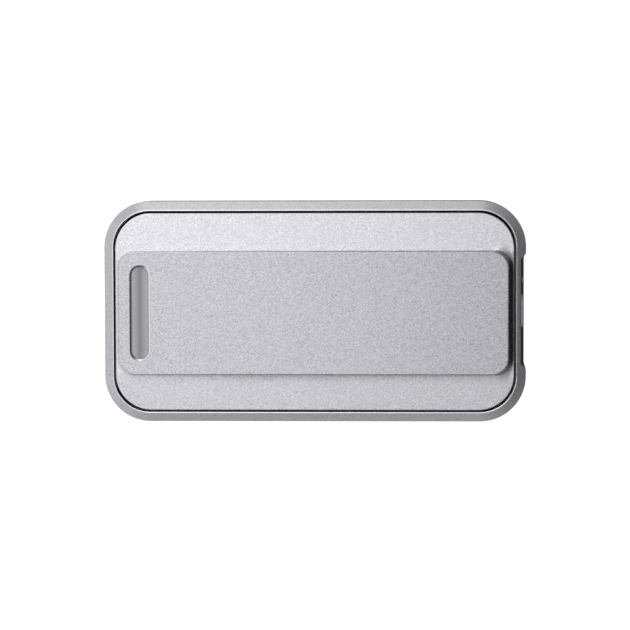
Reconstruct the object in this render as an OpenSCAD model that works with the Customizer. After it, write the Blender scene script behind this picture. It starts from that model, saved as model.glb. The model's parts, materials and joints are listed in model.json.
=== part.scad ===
// Portable solid state drive: a machined aluminium case, a wedge-shaped top cover and one USB-C socket.
// Sizes are in millimetres. X runs along the case towards the socket, Z points up, and the feet
// stand on Z = 0. The case holds a carrier board, and a plug-in memory module lies above it.

/* [Case] */
// Corner radius of the case, seen from above
corner_radius = 12; // [11:0.5:14]
// Width of the sloped rim that frames the cover
rim_width = 2.6; // [2.2:0.1:3.2]
// Fall of the rim from its inner edge to the side wall
rim_drop = 1.8; // [0.8:0.1:2.4]
// Height of the rim's bulge above a straight slope
rim_crown = 0.12; // [0.06:0.02:0.3]
// Polished chamfer along the inner edge of the rim
rim_chamfer = 0.2; // [0.1:0.05:0.4]
// Radius along the bottom edge of the case
bottom_radius = 1.4; // [0.6:0.1:2]
// Thickness of the floor
floor_thickness = 1.6; // [1.4:0.1:2.6]
// Width of the ledge that carries the cover's seal
ledge_width = 1.25; // [1:0.05:1.6]

/* [Socket end] */
// Depth of the end recess at rim height
recess_depth_top = 1.5; // [1:0.1:2]
// Depth of the end recess at the bottom edge
recess_depth_foot = 0.72; // [0.4:0.02:1]
// Width of the recess at its floor
recess_floor_width = 26.8; // [20:0.2:29]
// Length of the rounded slope from the recess floor to a lug
recess_slope = 1.9; // [1:0.1:3]
// Clearance round the socket's shell where it passes through the wall
socket_hole_clearance = 0.17; // [0.1:0.01:0.3]
// Diameter of the light pipe beside the socket
light_pipe_diameter = 1.6; // [1.2:0.1:2]
// Distance of the light pipe from the socket's centre
light_pipe_offset = 8; // [7:0.5:11]

/* [Cover] */
// Gap between the cover and the rim
cover_gap = 0.4; // [0.2:0.05:0.5]
// Height of the cover's vertical edge, chamfer included
cover_edge_height = 1.8; // [1.4:0.1:2.2]
// Polished chamfer round the cover
cover_chamfer = 0.2; // [0.1:0.05:0.3]
// Thickness of the cover below rim height, over the boards
cover_skin = 1.1; // [0.8:0.1:1.6]
// Width of the land round the cover's hollow underside, inside the ledge
cover_land = 1; // [0.6:0.1:1.6]
// Rise of the side bands from the cover's edge to the foot of the plateau
band_rise = 0.8; // [0.3:0.05:0.9]
// Rise of the plateau's foot at the socket end
toe_rise = 0.05; // [0.02:0.01:0.2]
// Rise of the plateau above the rim at the groove end
plateau_rise_low = 0.95; // [0.95:0.05:1.5]
// Rise of the plateau above the rim at the socket end
plateau_rise_high = 2.5; // [1.8:0.1:3.5]
// Width of the plateau
plateau_width = 32; // [26:0.5:34]
// Corner radius of the plateau
plateau_radius = 4.35; // [3:0.05:6]
// Sideways place of the plateau and its groove, from the centre line
plateau_offset = -0.3; // [-0.6:0.1:0.6]
// Distance of the plateau from the cover's edge at the groove end
plateau_inset_low = 0.35; // [0.35:0.05:1.5]
// Distance of the plateau from the cover's edge at the socket end
plateau_inset_high = 1.8; // [1.7:0.05:4]
// Slant of the plateau's wall at the groove end, seen from above
wall_run_low = 0.1; // [0.05:0.01:0.14]
// Slant of the plateau's wall along its sides, seen from above
wall_run_side = 0.3; // [0.1:0.05:0.6]
// Slant of the plateau's wall at the socket end, seen from above
wall_run_high = 1.2; // [0.6:0.05:1.4]
// Reach of the hollow fillet at the foot of the plateau
foot_fillet = 1.5; // [0.5:0.1:2.5]
// Reach of the fillet along the plateau's crest
crest_fillet = 0.25; // [0.1:0.05:0.5]

/* [Finger groove] */
// Length of the groove
groove_length = 24.5; // [16:0.5:28]
// Width of the groove
groove_width = 5; // [3.5:0.1:7]
// Depth of the groove
groove_depth = 0.85; // [0.5:0.05:1]
// Distance of the groove's centre line from the cover's edge
groove_inset = 6.3; // [5:0.05:12]

/* [Seal and feet] */
// Thickness of the seal under the cover
seal_thickness = 0.5; // [0.3:0.05:0.8]
// Gap between the seal and the wall round it
seal_gap = 0.1; // [0.05:0.05:0.2]
// Diameter of a foot
foot_diameter = 9; // [7:0.2:10]
// Height of a foot below the case
foot_proud = 0.5; // [0.3:0.05:1]
// Depth of a foot's pocket
foot_pocket = 0.8; // [0.5:0.05:0.9]
// Gap round a foot in its pocket
foot_gap = 0.1; // [0.05:0.05:0.2]
// Radius of a foot's lower edge
foot_edge = 0.3; // [0.1:0.05:0.45]

/* [Cover screws] */
// Distance of the cover screws from the ends of the case
screw_inset_x = 11; // [10.5:0.1:12.5]
// Distance of the cover screws from the sides of the case
screw_inset_y = 10.2; // [9.8:0.1:11.4]
// Thread diameter of the cover screws
screw_diameter = 2; // [1.6:0.1:2.4]
// Length of a cover screw under its head
screw_length = 6; // [5:0.1:6.4]
// Head diameter of a cover screw
screw_head_diameter = 3.6; // [3.2:0.1:4]
// Head height of a cover screw
screw_head_height = 1.2; // [0.9:0.1:1.4]
// Clearance of a screw in its through hole, all round
screw_clearance = 0.1; // [0.05:0.05:0.2]
// Clearance of a thread in its tapped hole, all round
thread_clearance = 0.02; // [0.01:0.01:0.04]
// Depth of the tapped holes beyond the screws' tips
tap_margin = 0.3; // [0.1:0.1:0.6]
// Wall of the posts and bosses round a screw
post_wall = 2; // [1.4:0.1:2.2]
// Height of the base posts above the carrier board
post_above_board = 0.7; // [0.3:0.1:1.5]
// Clearance of the carrier board round a post
post_clearance = 0.2; // [0.1:0.05:0.4]

/* [Carrier board] */
// Height of the carrier board above the floor
standoff_height = 1.2; // [1:0.1:1.8]
// Thickness of the carrier board
board_thickness = 1; // [0.8:0.1:1.6]
// Gap between the carrier board and the case wall
board_gap = 0.45; // [0.3:0.05:0.8]
// Thickness of the insulating film on the floor
film_thickness = 0.2; // [0.1:0.05:0.4]
// Gap between the film and what it surrounds
film_gap = 0.3; // [0.2:0.05:0.6]
// Distance of the board screws from the board's ends
board_screw_from_end = 20.7; // [17:0.1:21]
// Distance of the board screws from the board's sides
board_screw_inset = 2.5; // [2.3:0.1:3]
// Thread diameter of the board screws
board_screw_diameter = 1.6; // [1.4:0.1:1.8]
// Length of a board screw under its head
board_screw_length = 2.6; // [2:0.1:3]
// Head diameter of a board screw
board_screw_head = 3.4; // [3:0.1:3.6]
// Head height of a board screw
board_screw_head_height = 0.8; // [0.6:0.1:1]
// Diameter of the floor's standoffs under the board
standoff_diameter = 4.2; // [3.6:0.1:4.6]

/* [USB-C socket] */
// Outer width of the metal shell
usb_width = 8.94; // [8.8:0.02:9.2]
// Outer height of the metal shell
usb_height = 3.26; // [3.1:0.02:3.5]
// Wall thickness of the metal shell
usb_wall = 0.3; // [0.2:0.05:0.35]
// Depth of the metal shell
usb_depth = 7.3; // [6.6:0.1:8.5]
// Distance of the shell's mouth inside the recess face
usb_inset = 0.1; // [0:0.05:0.3]
// Width of the contact tongue
tongue_width = 6.69; // [6.4:0.01:6.8]
// Thickness of the contact tongue
tongue_thickness = 0.7; // [0.6:0.02:0.8]
// Distance of the tongue's tip inside the shell's mouth
tongue_setback = 0.9; // [0.6:0.1:1.4]
// Length of the block that holds the tongue
tongue_block = 2.2; // [1.6:0.1:2.6]
// Distance between neighbouring contacts
usb_pitch = 0.5; // [0.48:0.01:0.52]
// Width of a contact
usb_contact_width = 0.24; // [0.18:0.01:0.3]
// Number of contacts on each side of the tongue
usb_contacts = 12; // [8:1:12]
// Thickness of a contact
contact_thickness = 0.06; // [0.04:0.01:0.1]

/* [Memory module] */
// Length of the module
module_length = 80; // [72:1:110]
// Width of the module
module_width = 22; // [20:0.5:22]
// Thickness of the module's board
module_thickness = 0.8; // [0.7:0.05:0.9]
// Height of the module above the carrier board
module_lift = 2; // [1.6:0.1:2.4]
// Length of the module's contact edge
module_edge_length = 4; // [3.5:0.1:4.4]
// Width of the module's contact edge
module_edge_width = 19.8; // [18:0.1:19.9]
// Diameter of the half hole at the module's free end
module_notch = 3.5; // [3:0.1:4]
// Distance between the module's contact pads
module_pitch = 0.5; // [0.5:0.05:0.6]
// Width of a contact pad on the module
pad_width = 0.32; // [0.25:0.01:0.36]
// Length of a contact pad on the module
pad_length = 2.3; // [1.8:0.1:2.6]
// Length of the spring contacts that press on the pads
spring_length = 1.8; // [1.2:0.1:2]
// Distance of the pads from the module's plugged end
pad_inset = 0.3; // [0.2:0.05:0.5]
// Length of the module socket
module_socket_length = 6; // [5.5:0.1:7]
// Height of the module socket
module_socket_height = 4.2; // [3.8:0.1:4.6]
// Space between the module socket and the USB-C socket
socket_spacing = 5.1; // [4.8:0.1:5.6]
// Space between the module's free end and the cavity's end wall
free_end_space = 10.15; // [9:0.05:14]
// Width of the carrier board on each side of the module
strip_width = 13.5; // [13:0.1:18]
// Clearance of the module's edge in its socket
module_clearance = 0.05; // [0.03:0.01:0.1]
// Diameter of the spacer under the module's free end
spacer_diameter = 5; // [4.6:0.1:5.4]
// Head diameter of the module screw
module_screw_head = 4.6; // [4.2:0.1:5]
// Thread diameter of the module screw
module_screw_diameter = 2; // [1.6:0.1:2.4]

/* [Chips and pads] */
// Gap between neighbouring parts on the module
module_part_gap = 1; // [0.6:0.1:1.2]
// Gap between neighbouring chips on the carrier board
chip_gap = 4; // [2:0.5:4.5]
// Gap between neighbouring parts of the power supply
supply_gap = 2.2; // [1.6:0.1:2.4]
// Distance of the bridge chip from the board's end
bridge_from_end = 30.7; // [29:0.1:32]
// Distance of the supply's large coil from the board's end
coil_from_end = 28.7; // [28:0.1:30]
// Distance of the power delivery chip from the board's end
delivery_from_end = 5.5; // [4.5:0.1:6]
// Distance of the power delivery chip from the centre line
delivery_offset = 10; // [9:0.1:11]
// Side of the memory controller
controller_size = 12; // [9:0.5:13]
// Height of the memory controller
controller_height = 1.1; // [0.8:0.05:1.2]
// Flash chip, along the module
flash_length = 12; // [10:0.5:13]
// Flash chip, across the module
flash_width = 18; // [14:0.5:19]
// Flash chip height
flash_height = 1.2; // [1:0.05:1.4]
// Memory buffer chip, along the module
dram_length = 8; // [6:0.5:9]
// Memory buffer chip, across the module
dram_width = 11; // [8:0.5:14]
// Memory buffer chip height
dram_height = 1; // [0.8:0.05:1.1]
// Side of the module's power chip
module_power_size = 3; // [2.5:0.1:3.2]
// Height of the module's small coils
module_coil_height = 1.2; // [0.8:0.1:1.3]
// Width of a small capacitor
capacitor_width = 1; // [0.8:0.1:1.2]
// Length of a small capacitor
capacitor_length = 1.6; // [1.2:0.1:2]
// Distance of the end row of capacitors from the module's free end
end_row_inset = 5; // [4.5:0.1:5.5]
// Thickness of the pad between the flash chips and the cover
pad_thickness = 1; // [0.6:0.1:1.4]
// Side of the USB bridge chip
bridge_size = 9; // [7:0.5:9.5]
// Height of the USB bridge chip
bridge_height = 0.9; // [0.7:0.05:1.2]
// Side of the large coil of the power supply
coil_size = 6.6; // [5:0.2:7]
// Height of the large coil
coil_height = 3; // [2:0.1:3.2]
// Side of the small coil of the power supply
small_coil_size = 4.2; // [3.5:0.1:4.6]
// Height of the small coil
small_coil_height = 2.1; // [1.5:0.1:2.5]
// Side of the supply's regulator chip
regulator_size = 3.5; // [3:0.1:4]
// Length of the bridge chip's small memory
firmware_length = 5; // [4:0.5:6]
// Length of the clock crystal's can
crystal_length = 3.2; // [2.5:0.1:5]
// Polymer capacitor, along the board
polymer_length = 7.3; // [6:0.1:7.5]
// Polymer capacitor, across the board
polymer_width = 4.3; // [3:0.1:5]
// Height of a polymer capacitor
polymer_height = 1.9; // [1.2:0.1:2.4]

/* [Hidden] */
$fn = 64;

// Heights, from the feet up
underside_z = foot_proud;
floor_z = underside_z + floor_thickness;
board_z = floor_z + standoff_height;
board_top = board_z + board_thickness;
module_z = board_top + module_lift;
module_top = module_z + module_thickness;
cover_inside_z = module_top + flash_height + pad_thickness;
rim_z = cover_inside_z + cover_skin;
shoulder_z = rim_z - rim_drop;
cover_bottom_z = rim_z - cover_edge_height;
ledge_z = cover_bottom_z - seal_thickness;
post_top = board_top + post_above_board;
screw_seat_z = underside_z + foot_pocket + screw_head_height + screw_clearance;
tap_end_z = screw_seat_z + screw_length + tap_margin;
usb_z = board_top + usb_height / 2;
above = 3;

// The case closes round the boards: the module and its sockets set the length, and the module and
// the free strips beside it set the width
end_wall = rim_width + ledge_width;
case_length = end_wall + free_end_space + module_length - module_edge_length + module_socket_length
    + socket_spacing + usb_depth + usb_inset + recess_depth_top;
case_width = module_width + 2 * (strip_width + board_gap + end_wall);

// Outlines of the openings in the case, as lengths, widths and corner radii
pocket_length = case_length - 2 * rim_width;
pocket_width = case_width - 2 * rim_width;
pocket_radius = corner_radius - rim_width;
cavity_length = pocket_length - 2 * ledge_width;
cavity_width = pocket_width - 2 * ledge_width;
cavity_radius = pocket_radius - ledge_width;
board_end = cavity_length / 2 - board_gap;
board_side = cavity_width / 2 - board_gap;
board_radius = cavity_radius - board_gap;
cover_end = pocket_length / 2 - cover_gap;
cover_side = pocket_width / 2 - cover_gap;

// Places of the screws, one sign pair for each corner
corners = [[-1, -1], [1, -1], [1, 1], [-1, 1]];
screw_x = case_length / 2 - screw_inset_x;
screw_y = case_width / 2 - screw_inset_y;
post_diameter = screw_diameter + 2 * (screw_clearance + post_wall);
board_screw_x = board_end - board_screw_from_end;
board_screw_y = board_side - board_screw_inset;
board_screw_tip_z = board_top - board_screw_length - screw_clearance;

// Places along the case, worked back from the socket end
usb_front = case_length / 2 - recess_depth_top - usb_inset;
usb_back = usb_front - usb_depth;
module_socket_end = usb_back - socket_spacing;
module_socket_mouth = module_socket_end - module_socket_length;
module_end = module_socket_mouth + module_edge_length;
module_free_end = module_end - module_length;
light_pipe_z = board_top + light_pipe_diameter / 2;
led_length = 1;
led_x = board_end - led_length / 2 - 0.4;

// Places of the chips on the carrier board, in the two free strips beside the module
strip_y = (module_width + strip_width) / 2;
bridge_x = board_end - bridge_from_end;
firmware_x = bridge_x - (bridge_size + firmware_length) / 2 - chip_gap;
crystal_x = firmware_x - (firmware_length + crystal_length) / 2 - chip_gap;
resistor_x = crystal_x - crystal_length / 2 - chip_gap;
coil_x = board_end - coil_from_end;
small_coil_x = coil_x - (coil_size + small_coil_size) / 2 - supply_gap;
regulator_x = small_coil_x - (small_coil_size + regulator_size) / 2 - supply_gap;
polymer_x = regulator_x - (regulator_size + polymer_length) / 2 - supply_gap;
polymer_step = polymer_length + supply_gap;
ceramic_x = polymer_x - polymer_step - polymer_length / 2 - supply_gap - capacitor_width;

// Places of the chips on the module, from its socket to its free end
module_power_x = module_socket_mouth - module_part_gap - module_power_size / 2;
controller_x = module_power_x - (module_power_size + controller_size) / 2 - module_part_gap;
dram_x = controller_x - (controller_size + dram_length) / 2 - module_part_gap;
near_row_x = dram_x - (dram_length + capacitor_width) / 2 - module_part_gap;
end_row_x = module_free_end + end_row_inset;
flash_spacing = (near_row_x - end_row_x - capacitor_width - 2 * module_part_gap) / 2;
flash_x = near_row_x - capacitor_width / 2 - module_part_gap - flash_spacing / 2;
module_row_step = module_width / 5.5;

// A flat outline with round corners, centred on the origin
module rounded_plan(length, width, radius) {
    square([length - 2 * radius, width], center = true);
    square([length, width - 2 * radius], center = true);
    for (c = corners)
        translate([c[0] * (length / 2 - radius), c[1] * (width / 2 - radius)]) circle(radius);
}

// A block with round upright edges between two heights
module rounded_block(length, width, radius, bottom, top) {
    translate([0, 0, bottom]) linear_extrude(top - bottom) rounded_plan(length, width, radius);
}

// A block whose edge has the same section all round. The child draws that section from the corner's
// centre outwards: it is drawn out along the four sides and turned round the four corners.
module sectioned_block(length, width, radius, bottom, top) {
    inner = [length - 2 * radius, width - 2 * radius];
    translate([-inner[0] / 2, -inner[1] / 2, bottom]) cube([inner[0], inner[1], top - bottom]);
    for (turn = [0:3]) {
        along = inner[turn % 2];
        across = inner[(turn + 1) % 2];
        rotate(90 * turn) {
            translate([-along / 2, across / 2, 0]) rotate([90, 0, 90]) linear_extrude(along) children();
            translate([along / 2, across / 2, 0]) rotate_extrude(angle = 90) children();
        }
    }
}

// A flat-sided oblong along X, as the USB-C shell and its hole have
module oblong_x(width, height, front, back) {
    radius = height / 2;
    translate([back, 0, usb_z]) rotate([90, 0, 90]) linear_extrude(front - back) {
        square([width - height, height], center = true);
        for (side = [-1, 1]) translate([side * (width / 2 - radius), 0]) circle(radius);
    }
}

// A box centred on a place in X and Y, standing on a height
module block_at(x, y, z, size) {
    translate([x - size[0] / 2, y - size[1] / 2, z]) cube(size);
}

// A moulded chip with the dimple that marks its first pin
module chip_at(x, y, z, size) {
    dimple = 0.35;
    depth = 0.08;
    difference() {
        block_at(x, y, z, size);
        translate([x - size[0] / 2 + 2.2 * dimple, y - size[1] / 2 + 2.2 * dimple, z + size[2] - depth])
            cylinder(r = dimple, h = 1);
    }
}

// A wire-wound coil in a square ferrite body with cut corners and a round cap
module coil_at(x, y, size, height) {
    cut = size * 0.18;
    half = size / 2;
    translate([x, y, board_top]) {
        linear_extrude(height * 0.85) polygon([for (q = [0:3], e = [0, 1])
            let (p = e == 0 ? [half, cut - half] : [half, half - cut], a = 90 * q)
            [p[0] * cos(a) - p[1] * sin(a), p[0] * sin(a) + p[1] * cos(a)]]);
        cylinder(d = size * 0.86, h = height);
    }
}

// Section of the case edge, from the corner's centre out to the side wall. A circle segment on the
// slope's chord gives the rim its slight crown.
module case_section() {
    chord = norm([rim_width, rim_drop]);
    crown_radius = chord * chord / (8 * rim_crown) + rim_crown / 2;
    difference() {
        union() {
            polygon([
                [0, underside_z], [corner_radius, underside_z], [corner_radius, shoulder_z],
                [corner_radius - rim_width, rim_z], [0, rim_z]
            ]);
            translate([corner_radius, shoulder_z]) rotate(atan2(rim_drop, -rim_width)) intersection() {
                translate([0, -2 * rim_crown]) square([chord, 2 * rim_crown + rim_drop / 4]);
                translate([chord / 2, crown_radius - rim_crown]) circle(crown_radius, $fn = 256);
            }
        }
        translate([corner_radius - bottom_radius, underside_z]) difference() {
            square(bottom_radius * 1.01);
            translate([0, bottom_radius]) circle(bottom_radius);
            translate([-1, bottom_radius]) square(bottom_radius + 2);
        }
    }
}

// Section of the opening that the cover drops into, with the rim's chamfer
module pocket_section() {
    polygon([
        [0, ledge_z], [pocket_radius, ledge_z], [pocket_radius, rim_z - rim_chamfer],
        [pocket_radius + rim_chamfer + above, rim_z + above], [0, rim_z + above]
    ]);
}

// Recess between the two lugs at the socket end. Its face leans back towards the rim, and a cosine
// curve rounds the way up to each lug.
module port_recess() {
    steps = 10;
    face = case_length / 2;
    half = recess_floor_width / 2;
    top_z = rim_z + above;
    slope = (recess_depth_top - recess_depth_foot) / (rim_z - underside_z);
    depth_at_top = recess_depth_foot + slope * (top_z - underside_z);
    side = [for (s = [0:steps]) [
        face - depth_at_top * (1 + cos(180 * s / steps)) / 2,
        half + recess_slope * s / steps
    ]];
    intersection() {
        linear_extrude(top_z) polygon(concat(
            side,
            [[face + above, half + recess_slope], [face + above, -half - recess_slope]],
            [for (s = [0:steps]) [side[steps - s][0], -side[steps - s][1]]]
        ));
        rotate([90, 0, 0]) linear_extrude(case_width, center = true) polygon([
            [face - recess_depth_foot + slope * underside_z, 0], [face + above, 0],
            [face + above, top_z], [face - depth_at_top, top_z]
        ]);
    }
}

// Machined case: outer body, cover opening, cavity, posts and every hole
module base_shell() color("silver") difference() {
    union() {
        difference() {
            sectioned_block(case_length, case_width, corner_radius, underside_z, rim_z) case_section();
            sectioned_block(pocket_length, pocket_width, pocket_radius, ledge_z, rim_z + above)
                pocket_section();
            rounded_block(cavity_length, cavity_width, cavity_radius, floor_z, rim_z);
            port_recess();
        }
        for (c = corners) {
            translate([c[0] * screw_x, c[1] * screw_y, underside_z + foot_pocket])
                cylinder(d = post_diameter, h = post_top - underside_z - foot_pocket);
            translate([c[0] * board_screw_x, c[1] * board_screw_y, floor_z - floor_thickness / 2])
                cylinder(d = standoff_diameter, h = standoff_height + floor_thickness / 2);
        }
    }
    for (c = corners) {
        translate([c[0] * screw_x, c[1] * screw_y, 0]) {
            cylinder(d = foot_diameter + 2 * foot_gap, h = underside_z + foot_pocket);
            cylinder(d = screw_head_diameter + 2 * screw_clearance, h = screw_seat_z);
            cylinder(d = screw_diameter + 2 * screw_clearance, h = rim_z);
        }
        translate([c[0] * board_screw_x, c[1] * board_screw_y, board_screw_tip_z])
            cylinder(d = board_screw_diameter + 2 * thread_clearance, h = board_screw_length);
    }
    oblong_x(usb_width + 2 * socket_hole_clearance, usb_height + 2 * socket_hole_clearance,
        case_length / 2 + above, cavity_length / 2 - 1);
    translate([cavity_length / 2 - 1, light_pipe_offset, light_pipe_z]) rotate([0, 90, 0])
        cylinder(d = light_pipe_diameter + 2 * thread_clearance, h = rim_width + ledge_width + above);
}

// Outlines on the cover, as low end, high end, half width, corner radius and sideways place
edge_outline = [-cover_end, cover_end, cover_side, pocket_radius, 0];
lip_outline = [
    -cover_end + cover_chamfer, cover_end - cover_chamfer, cover_side - cover_chamfer,
    pocket_radius - cover_chamfer, 0
];
plateau_outline = [
    -cover_end + plateau_inset_low, cover_end - plateau_inset_high, plateau_width / 2,
    plateau_radius, plateau_offset
];
foot_outline = [
    plateau_outline[0] - wall_run_low, plateau_outline[1] + wall_run_high,
    plateau_outline[2] + wall_run_side, plateau_radius + wall_run_side, plateau_offset
];
crest_outline = [
    plateau_outline[0] + crest_fillet, plateau_outline[1] - crest_fillet,
    plateau_outline[2] - crest_fillet, plateau_radius - crest_fillet, plateau_offset
];

// Stations round the cover, as corner, angle and share of the straight side that follows
arc_steps = 12;
side_steps = [8, 4, 8, 4];
stations = [for (k = [0:3]) each concat(
    [for (s = [0:arc_steps]) [k, 90 * (k + s / arc_steps), 0]],
    [for (s = [1:side_steps[k] - 1]) [k, 90 * (k + 1), s / side_steps[k]]]
)];

// Point of an outline at a corner and an angle
function corner_point(o, k, a) = [
    (k == 0 || k == 3 ? o[1] - o[3] : o[0] + o[3]) + o[3] * cos(a),
    (k < 2 ? 1 : -1) * (o[2] - o[3]) + o[3] * sin(a) + o[4]
];
// Point of an outline at a station
function outline_point(o, s) = let (here = corner_point(o, s[0], s[1]))
    here + s[2] * (corner_point(o, (s[0] + 1) % 4, s[1]) - here);
// Height of the sloped plateau at a distance along the case
function plateau_z(x) = rim_z + plateau_rise_low + (plateau_rise_high - plateau_rise_low)
    * (x - plateau_outline[0]) / (plateau_outline[1] - plateau_outline[0]);
// Height of the plateau's foot, which falls away round the corners at the socket end
function foot_z(s) = rim_z + (s[0] == 0 || s[0] == 3
    ? toe_rise + (band_rise - toe_rise) * abs(sin(s[1]))
    : band_rise);
function at_height(p, z) = [p[0], p[1], z];
function on_plateau(p) = [p[0], p[1], plateau_z(p[0])];
function toward(a, b, share) = a + share * (b - a);
function curve(a, b, c, t) = toward(toward(a, b, t), toward(b, c, t), t);

// Points up the cover at one station: edge, chamfer, side band, hollow foot, wall, crest
function section_points(s) =
    let (
        wall_start = 0.5,
        wall_end = 0.75,
        edge = outline_point(edge_outline, s),
        lip = at_height(outline_point(lip_outline, s), rim_z),
        foot = at_height(outline_point(foot_outline, s), foot_z(s)),
        crest = on_plateau(outline_point(plateau_outline, s)),
        top = on_plateau(outline_point(crest_outline, s)),
        fillet = toward(foot, lip, min(0.45, foot_fillet / norm(lip - foot))),
        low = toward(foot, crest, wall_start),
        high = toward(foot, crest, wall_end)
    ) [
        at_height(edge, cover_bottom_z), at_height(edge, rim_z - cover_chamfer), lip, fillet,
        curve(fillet, foot, low, 1 / 3), curve(fillet, foot, low, 2 / 3), low, high,
        curve(high, crest, top, 1 / 2), top
    ];

// The wedge: sections at all stations joined ring to ring, and closed below and on the plateau
module cover_wedge() {
    sections = [for (s = stations) section_points(s)];
    count = len(sections);
    rings = len(sections[0]);
    polyhedron(
        points = [for (r = [0:rings - 1], s = sections) s[r]],
        faces = concat(
            [for (r = [0:rings - 2], i = [0:count - 1])
                let (a = r * count + i, b = r * count + (i + 1) % count)
                each [[a + count, b + count, a], [b + count, b, a]]],
            [[for (i = [0:count - 1]) (i + arc_steps / 2) % count]],
            [[for (i = [count - 1:-1:0]) (rings - 1) * count + (i + arc_steps / 2) % count]]
        )
    );
}

// Dished finger groove: a shallow round channel with a ball end at each side
module finger_groove() {
    radius = (groove_width * groove_width / 4 + groove_depth * groove_depth) / (2 * groove_depth);
    x = -cover_end + groove_inset;
    reach = (groove_length - groove_width) / 2;
    translate([x, plateau_offset, plateau_z(x) + radius - groove_depth]) {
        rotate([90, 0, 0]) cylinder(r = radius, h = 2 * reach, center = true);
        for (side = [-1, 1]) translate([0, side * reach, 0]) sphere(radius);
    }
}

// Top cover: the wedge, hollow below, with screw bosses and a pedestal over the bridge chip
module top_cover() color("gainsboro") difference() {
    union() {
        difference() {
            cover_wedge();
            finger_groove();
            rounded_block(cavity_length - 2 * cover_land, cavity_width - 2 * cover_land,
                cavity_radius - cover_land, cover_bottom_z - 1, cover_inside_z);
        }
        for (c = corners) translate([c[0] * screw_x, c[1] * screw_y, post_top])
            cylinder(d = post_diameter, h = cover_inside_z + cover_skin / 2 - post_top);
        pedestal_z = board_top + bridge_height + pad_thickness;
        block_at(bridge_x, strip_y, pedestal_z,
            [bridge_size, bridge_size, cover_inside_z + cover_skin / 2 - pedestal_z]);
    }
    for (c = corners) translate([c[0] * screw_x, c[1] * screw_y, post_top - above])
        cylinder(d = screw_diameter + 2 * thread_clearance, h = tap_end_z - post_top + above);
}

// Flat rubber ring on the ledge
module cover_seal() color("dimgray") difference() {
    rounded_block(pocket_length - 2 * seal_gap, pocket_width - 2 * seal_gap,
        pocket_radius - seal_gap, ledge_z, cover_bottom_z);
    rounded_block(cavity_length + 2 * seal_gap, cavity_width + 2 * seal_gap,
        cavity_radius + seal_gap, ledge_z - 1, rim_z);
}

// Round rubber foot that hides a cover screw
module foot(c) color("dimgray") translate([c[0] * screw_x, c[1] * screw_y, 0]) rotate_extrude() {
    reach = foot_diameter / 2;
    translate([0, foot_edge]) square([reach, underside_z + foot_pocket - foot_edge]);
    square([reach - foot_edge, foot_edge]);
    translate([reach - foot_edge, foot_edge]) intersection() {
        circle(foot_edge);
        translate([0, -foot_edge]) square(foot_edge);
    }
}

// Pan-head screw that points up or down from the origin, with a six-sided drive recess
module pan_screw(diameter, length, head, head_height) {
    difference() {
        union() {
            translate([0, 0, -head_height]) cylinder(d = head, h = head_height);
            cylinder(d = diameter, h = length);
        }
        translate([0, 0, -head_height - 1]) cylinder(d = head * 0.45, h = 1 + head_height * 0.6, $fn = 6);
    }
}

// Four screws that pull the cover down from below
module cover_screws() color("gray") for (c = corners)
    translate([c[0] * screw_x, c[1] * screw_y, screw_seat_z])
        pan_screw(screw_diameter, screw_length, screw_head_diameter, screw_head_height);

// Insulating film under the carrier board
module board_insulator() color("goldenrod") difference() {
    rounded_block(2 * board_end, 2 * board_side, board_radius, floor_z, floor_z + film_thickness);
    for (c = corners) {
        translate([c[0] * screw_x, c[1] * screw_y, 0]) cylinder(d = post_diameter + 2 * film_gap, h = rim_z);
        translate([c[0] * board_screw_x, c[1] * board_screw_y, 0])
            cylinder(d = standoff_diameter + 2 * film_gap, h = rim_z);
    }
}

// Carrier board, which fills the cavity and clears the posts
module carrier_board() color("darkgreen") difference() {
    rounded_block(2 * board_end, 2 * board_side, board_radius, board_z, board_top);
    for (c = corners) {
        translate([c[0] * screw_x, c[1] * screw_y, 0])
            cylinder(d = post_diameter + 2 * post_clearance, h = rim_z);
        translate([c[0] * board_screw_x, c[1] * board_screw_y, 0])
            cylinder(d = board_screw_diameter + 2 * screw_clearance, h = rim_z);
    }
}

// Four screws that hold the carrier board on the floor's standoffs
module board_screws() color("gray") for (c = corners)
    translate([c[0] * board_screw_x, c[1] * board_screw_y, board_top]) mirror([0, 0, 1])
        pan_screw(board_screw_diameter, board_screw_length, board_screw_head, board_screw_head_height);

// USB-C shell, closed at the back, with four solder tabs on the board
module usb_c_shell() color("lightsteelblue") {
    tab = [1.1, 0.9, 0.25];
    difference() {
        union() {
            oblong_x(usb_width, usb_height, usb_front, usb_back);
            for (side = [-1, 1], x = [usb_back + 1, board_end - 1])
                block_at(x, side * (usb_width / 2 - 0.4), board_top, [tab[0], 2 * tab[1], tab[2]]);
        }
        oblong_x(usb_width - 2 * usb_wall, usb_height - 2 * usb_wall, usb_front + 1, usb_back + usb_wall);
    }
}

// Plastic tongue and the block that holds it at the back of the shell
module usb_c_tongue() color("black") {
    back = usb_back + usb_wall;
    inner = usb_height - 2 * usb_wall - 2 * thread_clearance;
    oblong_x(usb_width - 2 * usb_wall - 2 * thread_clearance, inner, back + tongue_block, back);
    translate([back, -tongue_width / 2, usb_z - tongue_thickness / 2])
        cube([usb_front - tongue_setback - back, tongue_width, tongue_thickness]);
}

// Contacts on both faces of the tongue
module usb_c_contacts() color("gold") {
    start = usb_back + usb_wall + tongue_block;
    length = usb_front - tongue_setback - start - 0.5;
    for (i = [0:usb_contacts - 1], side = [0, 1]) translate([
        start,
        (i - (usb_contacts - 1) / 2) * usb_pitch - usb_contact_width / 2,
        usb_z + (side == 0 ? tongue_thickness / 2 : -tongue_thickness / 2 - contact_thickness)
    ]) cube([length, usb_contact_width, contact_thickness]);
}

// Clear rod from the indicator lamp through the end wall
module light_pipe() color("white") {
    start = led_x + led_length / 2;
    translate([start, light_pipe_offset, light_pipe_z]) rotate([0, 90, 0])
        cylinder(d = light_pipe_diameter, h = usb_front - start);
}

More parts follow.
